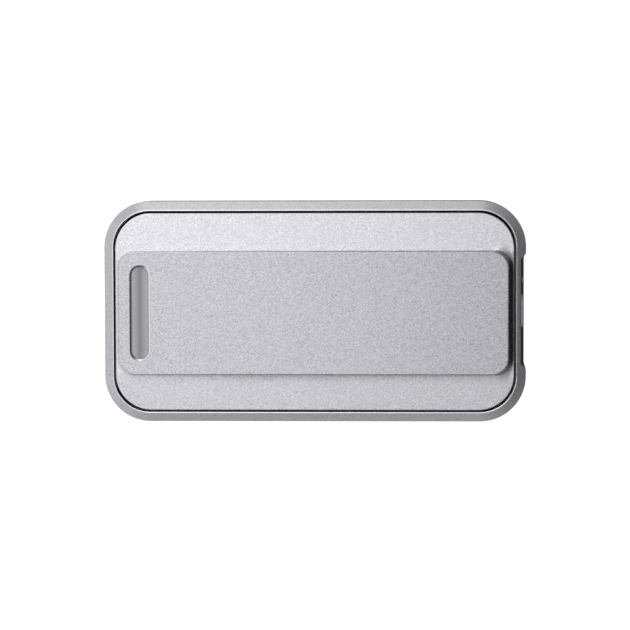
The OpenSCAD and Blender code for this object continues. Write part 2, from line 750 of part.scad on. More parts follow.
// Indicator lamp at the board's edge
module status_led() color("khaki")
    block_at(led_x, light_pipe_offset, board_top, [led_length, 1.6, 0.8]);

// Surge protection between the USB-C socket and the module socket
module esd_diodes() color("black") for (y = [-3, 0, 3])
    block_at((usb_back + module_socket_end) / 2, y, board_top, [1, 1.6, 0.5]);

// Chip that agrees the supply voltage with the host
module power_delivery_chip() color("black")
    chip_at(board_end - delivery_from_end, -delivery_offset, board_top, [4, 4, 0.8]);

// Chip that turns USB into the memory module's own bus
module bridge_chip() color("black")
    chip_at(bridge_x, strip_y, board_top, [bridge_size, bridge_size, bridge_height]);

// Heat-conducting pad between the bridge chip and the cover's pedestal
module bridge_thermal_pad() color("lightskyblue")
    block_at(bridge_x, strip_y, board_top + bridge_height, [bridge_size, bridge_size, pad_thickness]);

// Small memory for the bridge chip's program
module firmware_chip() color("black")
    chip_at(firmware_x, strip_y, board_top, [firmware_length, 0.8 * firmware_length, 0.8]);

// Metal can of the clock crystal
module crystal_can() color("silver") translate([crystal_x, strip_y, board_top])
    linear_extrude(0.75) rounded_plan(crystal_length, 0.78 * crystal_length, 0.4);

// Coils, regulator and storage capacitors of the power supply, on the other side of the module
module buck_coil_large() color("dimgray")
    coil_at(coil_x, -strip_y, coil_size, coil_height);
module buck_coil_small() color("dimgray")
    coil_at(small_coil_x, -strip_y, small_coil_size, small_coil_height);
module buck_regulator_chip() color("black")
    chip_at(regulator_x, -strip_y, board_top, [regulator_size, regulator_size, 0.85]);
module polymer_capacitors() color("darkkhaki") for (i = [0, 1])
    block_at(polymer_x - polymer_step * i, -strip_y, board_top,
        [polymer_length, polymer_width, polymer_height]);

// Rows of small parts on the carrier board
module ceramic_capacitors() color("tan") for (i = [0:4], row = [-1, 1])
    block_at(ceramic_x - 2 * capacitor_width * i, -strip_y + capacitor_length * row, board_top,
        [capacitor_width, capacitor_length, 0.9]);
module chip_resistors() color("black") for (i = [0:8], row = [-1, 1])
    block_at(resistor_x - 2 * capacitor_width * i, strip_y + capacitor_length * row, board_top,
        [0.8 * capacitor_width, capacitor_length, 0.5]);

// Slot that the module's edge plugs into
module module_socket() color("black") difference() {
    translate([module_socket_mouth, -module_width / 2, board_top])
        cube([module_socket_length, module_width, module_socket_height]);
    translate([
        module_socket_mouth - 1,
        -module_edge_width / 2 - module_clearance,
        module_z - module_clearance
    ])
        cube([
            module_edge_length + module_clearance + 1,
            module_edge_width + 2 * module_clearance,
            module_thickness + 2 * module_clearance + 2 * contact_thickness
        ]);
}

// Spring contacts in the slot's roof, and the pads that they press on
pad_count = floor((module_edge_width - 1.5) / module_pitch);
module pad_row(start, length, z, thickness) {
    for (i = [0:pad_count - 1])
        translate([start, (i - (pad_count - 1) / 2) * module_pitch - pad_width / 2, z])
            cube([length, pad_width, thickness]);
}
module module_edge_contacts() color("gold")
    pad_row(module_end - pad_inset - pad_length, pad_length, module_top, contact_thickness);
module module_socket_contacts() color("gold")
    pad_row(module_end - 1.5 * pad_inset - spring_length, spring_length,
        module_top + contact_thickness, contact_thickness + module_clearance);

// Threaded spacer under the module's free end
module module_spacer() color("gold") translate([module_free_end, 0, board_top]) difference() {
    cylinder(d = spacer_diameter, h = module_lift);
    translate([0, 0, -1]) cylinder(d = module_screw_diameter + 2 * thread_clearance, h = module_lift + 2);
}

// Screw that clamps the module's free end
module module_screw() color("gray") translate([module_free_end, 0, module_top]) mirror([0, 0, 1])
    pan_screw(module_screw_diameter, module_thickness + module_lift - 0.3, module_screw_head, 0.8);

// Board of the memory module, with its narrow contact edge and the half hole for its screw
module memory_module_board() color("seagreen") difference() {
    union() {
        translate([module_free_end, -module_width / 2, module_z])
            cube([module_length - module_edge_length - module_clearance, module_width, module_thickness]);
        translate([module_free_end + 1, -module_edge_width / 2, module_z])
            cube([module_length - 1, module_edge_width, module_thickness]);
    }
    translate([module_free_end, 0, module_z - 1]) cylinder(d = module_notch, h = module_thickness + 2);
}

// Chips on the module
module memory_controller() color("black")
    chip_at(controller_x, 0, module_top, [controller_size, controller_size, controller_height]);
module dram_chip() color("black")
    chip_at(dram_x, 0, module_top, [dram_length, dram_width, dram_height]);
module flash_chip(i) color("black") {
    x = flash_x - flash_spacing * (i % 2);
    if (i < 2) chip_at(x, 0, module_top, [flash_length, flash_width, flash_height]);
    else block_at(x, 0, module_z - flash_height, [flash_length, flash_width, flash_height]);
}
module module_power_chip() color("black")
    chip_at(module_power_x, 1.5 * module_row_step, module_top, [module_power_size, module_power_size, 0.8]);
module module_coils() color("dimgray") for (i = [0:2])
    block_at(module_power_x, (0.5 - i) * module_row_step, module_top,
        [0.8 * module_power_size, 0.7 * module_row_step, module_coil_height]);
module module_capacitors() color("tan") for (i = [-2.5:2.5], x = [near_row_x, end_row_x])
    block_at(x, i * module_width / 7, module_top, [capacitor_width, capacitor_length, 0.8]);

// Heat-conducting pads between the module's chips and the cover
module controller_thermal_pad() color("lightskyblue")
    block_at(controller_x, 0, module_top + controller_height,
        [controller_size, controller_size, cover_inside_z - module_top - controller_height]);
module flash_thermal_pad() color("lightskyblue")
    block_at(flash_x - flash_spacing / 2, 0, module_top + flash_height,
        [flash_length + flash_spacing, flash_width, pad_thickness]);

base_shell();
top_cover();
cover_seal();
foot(corners[0]);  // foot_1
foot(corners[1]);  // foot_2
foot(corners[2]);  // foot_3
foot(corners[3]);  // foot_4
cover_screws();
board_insulator();
carrier_board();
board_screws();
usb_c_shell();
usb_c_tongue();
usb_c_contacts();
light_pipe();
status_led();
esd_diodes();
power_delivery_chip();
bridge_chip();
bridge_thermal_pad();
firmware_chip();
crystal_can();
buck_coil_large();
buck_coil_small();
buck_regulator_chip();
polymer_capacitors();
ceramic_capacitors();
chip_resistors();
module_socket();
module_socket_contacts();
module_spacer();
module_screw();
memory_module_board();
module_edge_contacts();
memory_controller();
dram_chip();
flash_chip(0);  // flash_chip_1
flash_chip(1);  // flash_chip_2
flash_chip(2);  // flash_chip_3
flash_chip(3);  // flash_chip_4
module_power_chip();
module_coils();
module_capacitors();
controller_thermal_pad();
flash_thermal_pad();
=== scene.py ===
import json
import math

import bmesh
import bpy
from mathutils import Matrix, Vector


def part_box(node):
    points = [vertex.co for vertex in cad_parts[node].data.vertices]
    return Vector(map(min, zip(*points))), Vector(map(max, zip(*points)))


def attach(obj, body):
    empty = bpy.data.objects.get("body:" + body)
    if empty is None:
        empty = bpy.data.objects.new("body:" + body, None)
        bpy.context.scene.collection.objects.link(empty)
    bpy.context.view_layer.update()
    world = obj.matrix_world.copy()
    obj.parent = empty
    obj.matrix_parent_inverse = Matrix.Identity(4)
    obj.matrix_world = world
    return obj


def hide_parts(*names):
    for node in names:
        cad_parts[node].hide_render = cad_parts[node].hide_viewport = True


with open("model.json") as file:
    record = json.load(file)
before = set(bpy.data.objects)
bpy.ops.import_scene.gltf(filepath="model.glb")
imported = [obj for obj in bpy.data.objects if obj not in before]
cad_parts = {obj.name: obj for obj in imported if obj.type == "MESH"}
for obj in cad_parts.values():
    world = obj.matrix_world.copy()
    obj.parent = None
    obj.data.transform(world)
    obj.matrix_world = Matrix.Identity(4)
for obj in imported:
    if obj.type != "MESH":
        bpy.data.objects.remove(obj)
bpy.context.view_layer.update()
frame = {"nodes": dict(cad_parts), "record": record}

MM = 0.001

# Heights of the case and the cover, as the construction has them
UNDERSIDE_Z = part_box("base_shell")[0].z
FLOOR_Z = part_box("board_insulator")[0].z
LEDGE_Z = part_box("cover_seal")[0].z
COVER_BOTTOM_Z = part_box("cover_seal")[1].z
COVER_EDGE_HEIGHT = 1.8 * MM
RIM_DROP = 1.8 * MM
RIM_Z = COVER_BOTTOM_Z + COVER_EDGE_HEIGHT
SHOULDER_Z = RIM_Z - RIM_DROP
COVER_INSIDE_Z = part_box("flash_thermal_pad")[1].z
POST_TOP_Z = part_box("top_cover")[0].z

# Outline of the case and what lies inside it
CASE_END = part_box("base_shell")[1].x
CASE_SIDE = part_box("base_shell")[1].y
CORNER_RADIUS = 12 * MM
RIM_WIDTH = 2.6 * MM
RIM_ROUND = 0.21 * MM
SHOULDER_ROUND = 0.08 * MM
BOTTOM_RADIUS = 1.4 * MM
LEDGE_WIDTH = 1.25 * MM
FOOT_POCKET = 0.8 * MM
FOOT_POCKET_RADIUS = 4.6 * MM

# Shares of the rim's slope that carry a ring, so that only its two ends are shaded round
RIM_RINGS = (0, 0.06, 0.95)

# Recess between the lugs at the socket end
RECESS_TOP = 1.5 * MM
RECESS_FOOT = 0.32 * MM
RECESS_HALF = 13.4 * MM
RECESS_SLOPE = 1.9 * MM
RECESS_OVERSHOOT = 1 * MM
RECESS_CUT = 3 * MM

# Screws, posts and standoffs, with the bores that start just above the bed
SCREW_X, SCREW_Y = 44 * MM, 18.6 * MM
SCREW_SEAT_Z = UNDERSIDE_Z + 2.1 * MM
HEAD_BORE_START, HEAD_BORE_RADIUS = 0.1 * MM, 1.9 * MM
SCREW_BORE_START, SCREW_BORE_RADIUS = 0.2 * MM, 1.1 * MM
TAP_OVERSHOOT, TAP_REACH, TAP_RADIUS = 1 * MM, 6.3 * MM, 1.02 * MM
POST_RADIUS = 3.1 * MM
POST_SINK = 0.6 * MM
BOSS_OVERLAP = 0.5 * MM
BOARD_SCREW_X, BOARD_SCREW_Y = 30 * MM, 22 * MM
STANDOFF_RADIUS = 2.1 * MM
STANDOFF_BORE_LOW, STANDOFF_BORE_HIGH = 1.6 * MM, 5 * MM
STANDOFF_BORE_RADIUS = 0.82 * MM

# Openings for the socket and the light pipe
SOCKET_HALF_WIDTH = 4.47 * MM
SOCKET_GAP, PIPE_GAP = 0.17 * MM, 0.02 * MM
OPENING_DEPTH, OPENING_OVERSHOOT = 6 * MM, 2 * MM
# Just under half the height, so that the rounded corners of an end don't quite meet
ROUND_END = 0.9999
# Just wider than high, for an opening that is meant to be round
ROUND_FLAT = 1.001

# Cover: its edge, side bands and wedge-shaped plateau
COVER_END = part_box("top_cover")[1].x
COVER_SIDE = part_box("top_cover")[1].y
COVER_RADIUS = CORNER_RADIUS - RIM_WIDTH
COVER_LAND = 1 * MM
COVER_GAP = 0.4 * MM
# Depths below the rim where the cover's upright wall ends and its set-back edge starts
EDGE_UPRIGHT, EDGE_LEANING = 0.9 * MM, 0.7 * MM
EDGE_SETBACK, EDGE_SHIFT = 0.1 * MM, 0.03 * MM
EDGE_ROUND, LOW_END_ROUND = 0.25 * MM, 0.4 * MM
BAND_RISE = 0.8 * MM
TOE_START, TOE_BLEND = 16.3 * MM, 7 * MM
TOE_LIP = 0.3 * MM
TOE_SLOPE = 42
TOE_LOW, TOE_TOP = 0.45 * MM, 0.8 * MM
PLATEAU_LOW, PLATEAU_HIGH = 0.95 * MM, 2.5 * MM
PLATEAU_HALF = 16 * MM
PLATEAU_RADIUS = 4.35 * MM
PLATEAU_OFFSET = -0.3 * MM
PLATEAU_START = -COVER_END + 0.95 * MM
PLATEAU_STOP = COVER_END - 1.55 * MM
WALL_LOW, WALL_SIDE, WALL_HIGH, WALL_CORNER = 0.3 * MM, 0.2 * MM, 1.2 * MM, 1.1 * MM
FILLET_OUT_END, FILLET_OUT_SIDE, FILLET_OUT_CORNER = 0.2 * MM, 2.6 * MM, 2.2 * MM
FILLET_UP_END, FILLET_UP_SIDE, FILLET_UP_CORNER = 0.1 * MM, 0.3 * MM, 1.3 * MM
CREST_FILLET = 0.25 * MM

# Most of the band and of the wall that the cove may take, and where the wall's crest starts
COVE_BAND_SHARE, COVE_WALL_SHARE = 0.6, 0.45
CREST_START = 0.85

# Sections of the cover: a first ring close by the lip, then steps over band, cove and crest
LIP_RING = 0.02
BAND_STEPS, COVE_STEPS, CREST_STEPS = 12, 8, 6

# Finger groove, with its rim's and foot's corners in millimetres from the rim
GROOVE_X = -COVER_END + 6.5 * MM
GROOVE_HALF_WIDTH = 2.7 * MM
GROOVE_HALF_LENGTH = 12.52 * MM
GROOVE_DISH = 0.08 * MM
GROOVE_CUT = 0.6 * MM
GROOVE_RIM = ((0.02, 0.01), (-0.04, -0.03), (-0.1, -0.08))
GROOVE_FOOT = ((-0.38, -0.28), (-0.46, -0.34), (-0.66, -0.36))
# Share of a step by which the dish's last ring stays off the middle
DISH_OPENING = 0.1

# Limits that tell one finish from another by place, and where the painted highlight and painted shade go
FINISH_MARGIN = 0.05 * MM
SURFACE_MARGIN = 0.02 * MM
RIM_PAINTED_HIGHLIGHT = 1.5 * RIM_ROUND
PLATEAU_FINISH_LOW = 0.3 * MM

# The same by a face's normal: walls down the gap, which get painted shade, and the lip at the low end and
# the groove's wall turned to the light, which get a painted highlight
CASE_WALL_TILT, COVER_WALL_TILT = 0.35, 0.3
LIP_TILT_LOW, LIP_TILT_HIGH = -0.1, 0.985
PAINTED_HIGHLIGHT_TILT, PAINTED_HIGHLIGHT_X, PAINTED_HIGHLIGHT_Y = 0.88, 0.3, -0.5

# Grain: the part of its tone that is mottle, and how the groove's tone follows place and grain, with painted
# shade that darkens its middle
MOTTLE_SHARE = 0.1
GROOVE_PAINTED_SHADE, GROOVE_GRAIN = 0.95, 0.15

# Floor, mat and surroundings
FLOOR_SIZE, FLOOR_GREY, FLOOR_GLOW = 6, 0.8, 0.78
MAT_SIZE, MAT_HEIGHT = 2, 0.05 * MM
MAT_FADE_X, MAT_FADE_Y = (20 * MM, 62 * MM), (20 * MM, 60 * MM)
MAT_PALE, MAT_DARK = 0.4, 0.012
WORLD_FALL, WORLD_MIDDLE = -0.384, 0.515

# Tolerances: edges at one height, edges that run the long way, and points that are the same
SAME_HEIGHT = 0.01 * MM
LONG_EDGE = 1 * MM
POINT_GRID = MM * 1e-4

CORNERS = [(-1, -1), (1, -1), (1, 1), (-1, 1)]


# Modelling helpers

def start_editing(piece):
    """Opens one piece in edit mode, with nothing else selected."""
    bpy.ops.object.select_all(action="DESELECT")
    piece.select_set(True)
    bpy.context.view_layer.objects.active = piece
    bpy.ops.object.mode_set(mode="EDIT")


def stop_editing():
    """Goes back to object mode."""
    bpy.ops.object.mode_set(mode="OBJECT")


def pick(piece, kind, test):
    """Selects only the edges or faces of the edited piece that pass the test."""
    bpy.ops.mesh.select_mode(type=kind)
    bpy.ops.mesh.select_all(action="DESELECT")
    mesh = bmesh.from_edit_mesh(piece.data)
    for part in (mesh.edges if kind == "EDGE" else mesh.faces):
        part.select_set(test(part))
    bmesh.update_edit_mesh(piece.data)


def level(part, z):
    """True if all of an edge or a face lies at one height."""
    return all(abs(v.co.z - z) < SAME_HEIGHT for v in part.verts)


def new_block(name, low, high):
    """A box between two corners, as a piece whose place is in its mesh."""
    bpy.ops.object.select_all(action="DESELECT")
    size = [b - a for a, b in zip(low, high)]
    centre = [(a + b) / 2 for a, b in zip(low, high)]
    bpy.ops.mesh.primitive_cube_add(size=1, location=centre, scale=size)
    bpy.ops.object.transform_apply(location=True, rotation=True, scale=True)
    piece = bpy.context.object
    piece.name = piece.data.name = name
    return piece


def new_rod(name, x, y, low, high, radius, sides=48):
    """An upright cylinder between two heights."""
    bpy.ops.object.select_all(action="DESELECT")
    bpy.ops.mesh.primitive_cylinder_add(
        vertices=sides, radius=radius, depth=high - low, location=(x, y, (low + high) / 2))
    bpy.ops.object.transform_apply(location=True, rotation=True, scale=True)
    piece = bpy.context.object
    piece.name = piece.data.name = name
    return piece


def extrude_down(depth):
    """Pushes the selected faces straight down."""
    bpy.ops.mesh.extrude_region_move(TRANSFORM_OT_translate={"value": (0, 0, -depth)})


def loft(name, rings):
    """Extrudes a round face ring by ring and moves each ring's points to their places."""
    bpy.ops.object.select_all(action="DESELECT")
    bpy.ops.mesh.primitive_circle_add(vertices=len(rings[0]), radius=1, fill_type="NGON")
    piece = bpy.context.object
    piece.name = piece.data.name = name
    start_editing(piece)
    bpy.ops.mesh.select_all(action="SELECT")
    mesh = bmesh.from_edit_mesh(piece.data)
    mesh.verts.ensure_lookup_table()
    for vertex, place in zip(mesh.verts, rings[0]):
        vertex.co = place
    bmesh.update_edit_mesh(piece.data)
    for before, ring in zip(rings, rings[1:]):
        bpy.ops.mesh.extrude_region_move(TRANSFORM_OT_translate={"value": (0, 0, 0)})
        mesh = bmesh.from_edit_mesh(piece.data)
        place_of = {tuple(round(c / POINT_GRID) for c in p): q for p, q in zip(before, ring)}
        for vertex in [v for v in mesh.verts if v.select]:
            vertex.co = place_of[tuple(round(c / POINT_GRID) for c in vertex.co)]
        bmesh.update_edit_mesh(piece.data)
    bpy.ops.mesh.select_all(action="SELECT")
    bpy.ops.mesh.normals_make_consistent(inside=False)
    stop_editing()
    return piece


def combine(piece, others, operation):
    """Adds the others to a piece or cuts them out of it, and deletes them."""
    group = bpy.data.collections.new(piece.name + "_" + operation.lower())
    bpy.context.scene.collection.children.link(group)
    for other in others:
        group.objects.link(other)
    step = piece.modifiers.new(operation.lower(), "BOOLEAN")
    step.operation = operation
    step.operand_type = "COLLECTION"
    step.collection = group
    step.solver = "EXACT"
    bpy.ops.object.select_all(action="DESELECT")
    bpy.context.view_layer.objects.active = piece
    bpy.ops.object.modifier_apply(modifier=step.name)
    for other in others:
        bpy.data.objects.remove(other)
    bpy.data.collections.remove(group)


def finish_piece(piece, nodes, angle=28):
    """Smooths a finished piece, puts it on the body and hides the nodes it stands for."""
    bpy.ops.object.select_all(action="DESELECT")
    piece.select_set(True)
    bpy.context.view_layer.objects.active = piece
    bpy.ops.object.shade_smooth_by_angle(angle=math.radians(angle))
    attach(piece, "root")
    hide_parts(*nodes)


# The machined case

def rim_steps(count=8):
    """Steps inwards and upwards that climb the rim's slope and go round its inner edge."""
    slope = math.atan2(RIM_DROP, RIM_WIDTH)
    centre_in = RIM_WIDTH - RIM_ROUND
    slope_in = centre_in - RIM_ROUND * math.sin(slope)
    centre_up = slope_in * math.tan(slope) - RIM_ROUND * math.cos(slope)
    points = [(slope_in * share, slope_in * share * math.tan(slope)) for share in RIM_RINGS]
    for i in range(count + 1):
        angle = (math.pi / 2 + slope) * i / count - slope
        points.append((centre_in + RIM_ROUND * math.sin(angle), centre_up + RIM_ROUND * math.cos(angle)))
    return [(b[0] - a[0], b[1] - a[1]) for a, b in zip(points, points[1:])]


def recess_cutter():
    """Cutter for the end recess: a sheet with a leaning, cosine-edged hollow, extruded outwards."""
    low_z, high_z = UNDERSIDE_Z - RECESS_OVERSHOOT, RIM_Z + RECESS_OVERSHOOT
    half = RECESS_HALF + RECESS_SLOPE
    bpy.ops.object.select_all(action="DESELECT")
    bpy.ops.mesh.primitive_grid_add(x_subdivisions=2, y_subdivisions=90, size=1)
    piece = bpy.context.object
    for vertex in piece.data.vertices:
        z = low_z + (vertex.co.x + 0.5) * (high_z - low_z)
        y = vertex.co.y * 2 * half
        lean = RECESS_FOOT + (RECESS_TOP - RECESS_FOOT) * (z - UNDERSIDE_Z) / (RIM_Z - UNDERSIDE_Z)
        share = max(0.0, abs(y) - RECESS_HALF) / RECESS_SLOPE
        vertex.co = (CASE_END - lean * (1 + math.cos(math.pi * share)) / 2, y, z)
    start_editing(piece)
    bpy.ops.mesh.select_all(action="SELECT")
    bpy.ops.mesh.extrude_region_move(TRANSFORM_OT_translate={"value": (RECESS_CUT, 0, 0)})
    bpy.ops.mesh.select_all(action="SELECT")
    bpy.ops.mesh.normals_make_consistent(inside=False)
    stop_editing()
    return piece


def oblong_cutter(low, high, half_width, half_height, z):
    """Cutter along X with round ends, for the openings of the socket and the light pipe."""
    piece = new_block("opening", (low, -half_width, z - half_height), (high, half_width, z + half_height))
    start_editing(piece)
    pick(piece, "EDGE", lambda e: abs(e.verts[0].co.x - e.verts[1].co.x) > LONG_EDGE)
    bpy.ops.mesh.bevel(offset=half_height * ROUND_END, segments=12, profile=0.5)
    stop_editing()
    return piece


def make_case():
    """The case: a bevelled block, inset ring by ring up the rim and sunk for the cover and boards."""
    piece = new_block("drive_case", (-CASE_END, -CASE_SIDE, UNDERSIDE_Z), (CASE_END, CASE_SIDE, SHOULDER_Z))
    start_editing(piece)
    pick(piece, "EDGE", lambda e: abs(e.verts[0].co.z - e.verts[1].co.z) > LONG_EDGE)
    bpy.ops.mesh.bevel(offset=CORNER_RADIUS, segments=28, profile=0.5)
    pick(piece, "EDGE", lambda e: level(e, UNDERSIDE_Z))
    bpy.ops.mesh.bevel(offset=BOTTOM_RADIUS, segments=7, profile=0.5)
    pick(piece, "FACE", lambda f: level(f, SHOULDER_Z))
    wall_top = SHOULDER_Z
    for inwards, upwards in rim_steps():
        bpy.ops.mesh.inset(thickness=inwards, depth=upwards)
        wall_top += upwards
    extrude_down(wall_top - LEDGE_Z)
    bpy.ops.mesh.inset(thickness=LEDGE_WIDTH)
    extrude_down(LEDGE_Z - FLOOR_Z)
    pick(piece, "EDGE", lambda e: level(e, SHOULDER_Z))
    bpy.ops.mesh.bevel(offset=SHOULDER_ROUND, segments=4, profile=0.5)
    stop_editing()

    posts = []
    post_foot = FLOOR_Z - POST_SINK
    for sx, sy in CORNERS:
        posts.append(new_rod("post", sx * SCREW_X, sy * SCREW_Y, post_foot, POST_TOP_Z, POST_RADIUS))
        posts.append(new_rod("standoff", sx * BOARD_SCREW_X, sy * BOARD_SCREW_Y, post_foot,
                             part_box("carrier_board")[0].z, STANDOFF_RADIUS))
    combine(piece, posts, "UNION")

    pocket_top = UNDERSIDE_Z + FOOT_POCKET
    cutters = [recess_cutter()]
    for sx, sy in CORNERS:
        x, y = sx * SCREW_X, sy * SCREW_Y
        cutters.append(new_rod("pocket", x, y, 0, pocket_top, FOOT_POCKET_RADIUS, sides=72))
        cutters.append(new_rod("head_bore", x, y, HEAD_BORE_START, SCREW_SEAT_Z, HEAD_BORE_RADIUS))
        cutters.append(new_rod("screw_bore", x, y, SCREW_BORE_START, RIM_Z, SCREW_BORE_RADIUS, sides=32))
        cutters.append(new_rod("standoff_bore", sx * BOARD_SCREW_X, sy * BOARD_SCREW_Y,
                               STANDOFF_BORE_LOW, STANDOFF_BORE_HIGH, STANDOFF_BORE_RADIUS, sides=32))
    opening_low, opening_high = CASE_END - OPENING_DEPTH, CASE_END + OPENING_OVERSHOOT
    shell_low, shell_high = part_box("usb_c_shell")
    cutters.append(oblong_cutter(opening_low, opening_high, SOCKET_HALF_WIDTH + SOCKET_GAP,
                                 (shell_high.z - shell_low.z) / 2 + SOCKET_GAP,
                                 (shell_low.z + shell_high.z) / 2))
    pipe_low, pipe_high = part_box("light_pipe")
    pipe_radius = (pipe_high.z - pipe_low.z) / 2 + PIPE_GAP
    cutters.append(oblong_cutter(opening_low, opening_high, pipe_radius * ROUND_FLAT, pipe_radius,
                                 (pipe_low.z + pipe_high.z) / 2))
    for vertex in cutters[-1].data.vertices:
        vertex.co.y += (pipe_low.y + pipe_high.y) / 2
    combine(piece, cutters, "DIFFERENCE")
    return piece


# The wedge-shaped cover

def plateau_centre(corner):
    """Centre of one of the plateau's rounded corners, counted from the socket end's far one."""
    x = PLATEAU_STOP - PLATEAU_RADIUS if corner in (0, 3) else PLATEAU_START + PLATEAU_RADIUS
    y = PLATEAU_HALF - PLATEAU_RADIUS if corner < 2 else PLATEAU_RADIUS - PLATEAU_HALF
    return Vector((x, y + PLATEAU_OFFSET, 0))


def way_out(turns):
    """Level direction after a number of quarter turns from the socket end."""
    return Vector((math.cos(turns * math.pi / 2), math.sin(turns * math.pi / 2), 0))


def cover_stations(arc_steps=28, side_steps=36):
    """Places round the cover, each as a point inside the plateau and the way out from it."""
    places = []
    for corner in range(4):
        here, there = plateau_centre(corner), plateau_centre((corner + 1) % 4)
        places += [(here, way_out(corner + s / arc_steps)) for s in range(arc_steps + 1)]
        for s in range(1, side_steps):
            share = (1 - math.cos(math.pi * s / side_steps)) / 2
            places.append((here.lerp(there, share), way_out(corner + 1)))
    return places


def cover_point(station, inset):
    """Where a station's way out meets the cover's outline, moved inwards by the inset."""
    origin, away = station
    end, side, radius = COVER_END - inset, COVER_SIDE - inset, COVER_RADIUS - inset
    reach = min((math.copysign(limit, step) - place) / step
                for limit, step, place in ((end, away.x, origin.x), (side, away.y, origin.y))
                if abs(step) > 1e-9)
    point = origin + away * reach
    if abs(point.x) > end - radius and abs(point.y) > side - radius:
        centre = Vector((math.copysign(end - radius, point.x), math.copysign(side - radius, point.y), 0))
        along = (origin - centre).dot(away)
        apart_squared = (origin - centre).length_squared
        point = origin + away * (math.sqrt(along ** 2 - apart_squared + radius ** 2) - along)
    return point


def plateau_z(x):
    """Height of the sloped plateau at a place along the cover."""
    along = x - PLATEAU_START
    return RIM_Z + PLATEAU_LOW + (PLATEAU_HIGH - PLATEAU_LOW) * along / (PLATEAU_STOP - PLATEAU_START)


def toe_share(point):
    """1 along the low toe at the socket end, falling to 0 round the corners and elsewhere."""
    share = min(1, max(0, (TOE_START - abs(point.y)) / TOE_BLEND))
    return share * share * (3 - 2 * share) if point.x > 0 else 0


def band_z(point):
    """Height outside the plateau: bands that fall to the sides, and a steep toe at the socket end."""
    band = BAND_RISE * min(1, (COVER_SIDE - abs(point.y)) / (COVER_SIDE - PLATEAU_HALF))
    toe = TOE_LOW + (COVER_END - TOE_LIP - point.x) * math.tan(math.radians(TOE_SLOPE))
    share = toe_share(point)
    return RIM_Z + band * (1 - share) + min(toe, TOE_TOP) * share


def at_height(point, z):
    """The same place at another height."""
    return Vector((point.x, point.y, z))


def on_plateau(station, inset):
    """Point on the plateau at a station, moved inwards from its outline by the inset."""
    origin, away = station
    point = origin + away * (PLATEAU_RADIUS - inset)
    return at_height(point, plateau_z(point.x))


def on_band(point):
    """The same place, on the surface outside the plateau."""
    return at_height(point, band_z(point))


def curve(a, b, c, t):
    """Point of a curve from a to c that bends towards b."""
    return a.lerp(b, t).lerp(b.lerp(c, t), t)


def blend(away, end, side, corner):
    """A size that changes with the way out, from the ends over the corners to the sides."""
    return end * away.x ** 2 + side * away.y ** 2 + 4 * (corner - (end + side) / 2) * (away.x * away.y) ** 2


def cover_edge(station, steps=6):
    """Points up the cover's outer edge: an upright wall, set back near the top, and a round lip."""
    radius = EDGE_ROUND + (LOW_END_ROUND - EDGE_ROUND) * max(0, -station[1].x) ** 2
    turn = math.radians(90 - TOE_SLOPE * toe_share(cover_point(station, 0)))
    setback = EDGE_SETBACK - EDGE_SHIFT * station[1].x
    lip_z = band_z(cover_point(station, setback + radius * (1 - math.cos(turn))))
    points = [at_height(cover_point(station, 0), z) for z in (COVER_BOTTOM_Z, RIM_Z - EDGE_UPRIGHT)]
    points.append(at_height(cover_point(station, setback), RIM_Z - EDGE_LEANING))
    for i in range(steps + 1):
        angle = turn * i / steps
        point = cover_point(station, setback + radius * (1 - math.cos(angle)))
        points.append(at_height(point, lip_z - radius * (math.sin(turn) - math.sin(angle))))
    return points


def cover_section(station):
    """Points up the cover at one station, from the hollow underside to the plateau."""
    away = station[1]
    hollow = cover_point(station, COVER_LAND + LEDGE_WIDTH - COVER_GAP)
    points = [at_height(hollow, COVER_INSIDE_Z), at_height(hollow, COVER_BOTTOM_Z)] + cover_edge(station)
    lip = points[-1]
    crest = on_plateau(station, 0)
    wall_end, wall_corner = (WALL_HIGH, WALL_CORNER) if away.x > 0 else (WALL_LOW, WALL_LOW)
    foot = on_band(crest + away * blend(away, wall_end, WALL_SIDE, wall_corner))
    out_end, up_end = (FILLET_OUT_END, FILLET_UP_END) if away.x > 0 else (FILLET_OUT_SIDE, FILLET_UP_SIDE)
    corner = (FILLET_OUT_CORNER, FILLET_UP_CORNER) if away.x > 0 else (FILLET_OUT_SIDE, FILLET_UP_SIDE)
    out = blend(away, out_end, FILLET_OUT_SIDE, corner[0])
    up = blend(away, up_end, FILLET_UP_SIDE, corner[1])
    rise = min(COVE_WALL_SHARE, up / (crest - foot).length)
    fillet = on_band(foot.lerp(lip, min(COVE_BAND_SHARE, out / (lip - foot).length)))
    cove = fillet, foot, foot.lerp(crest, rise)
    turn = foot.lerp(crest, CREST_START), crest, on_plateau(station, CREST_FILLET)
    shares = [LIP_RING] + [i / BAND_STEPS for i in range(1, BAND_STEPS)]
    points += [on_band(lip.lerp(fillet, share)) for share in shares]
    points += [curve(*cove, i / COVE_STEPS) for i in range(COVE_STEPS + 1)]
    points += [curve(*turn, i / CREST_STEPS) for i in range(CREST_STEPS + 1)]
    return points + [on_plateau(station, 2 * CREST_FILLET)]


def groove_profile(rounding_steps=5, fillet_steps=6, dish_steps=7):
    """Half widths and heights down the groove: rounded rim, steep wall, fillet and shallow dish."""
    half = GROOVE_HALF_WIDTH
    rim = [Vector(p) * MM for p in GROOVE_RIM]
    foot = [Vector(p) * MM for p in GROOVE_FOOT]
    rim, foot = [[Vector((half, 0)) + p for p in corner] for corner in (rim, foot)]
    profile = [Vector((rim[0].x, GROOVE_CUT))]
    profile += [curve(*rim, i / rounding_steps) for i in range(rounding_steps + 1)]
    profile += [curve(*foot, i / fillet_steps) for i in range(fillet_steps + 1)]
    floor = profile[-1]
    for i in range(1, dish_steps + 1):
        share = 1 - i / (dish_steps + DISH_OPENING)
        profile.append(Vector((floor.x * share, floor.y - GROOVE_DISH * (1 - share ** 2))))
    return profile


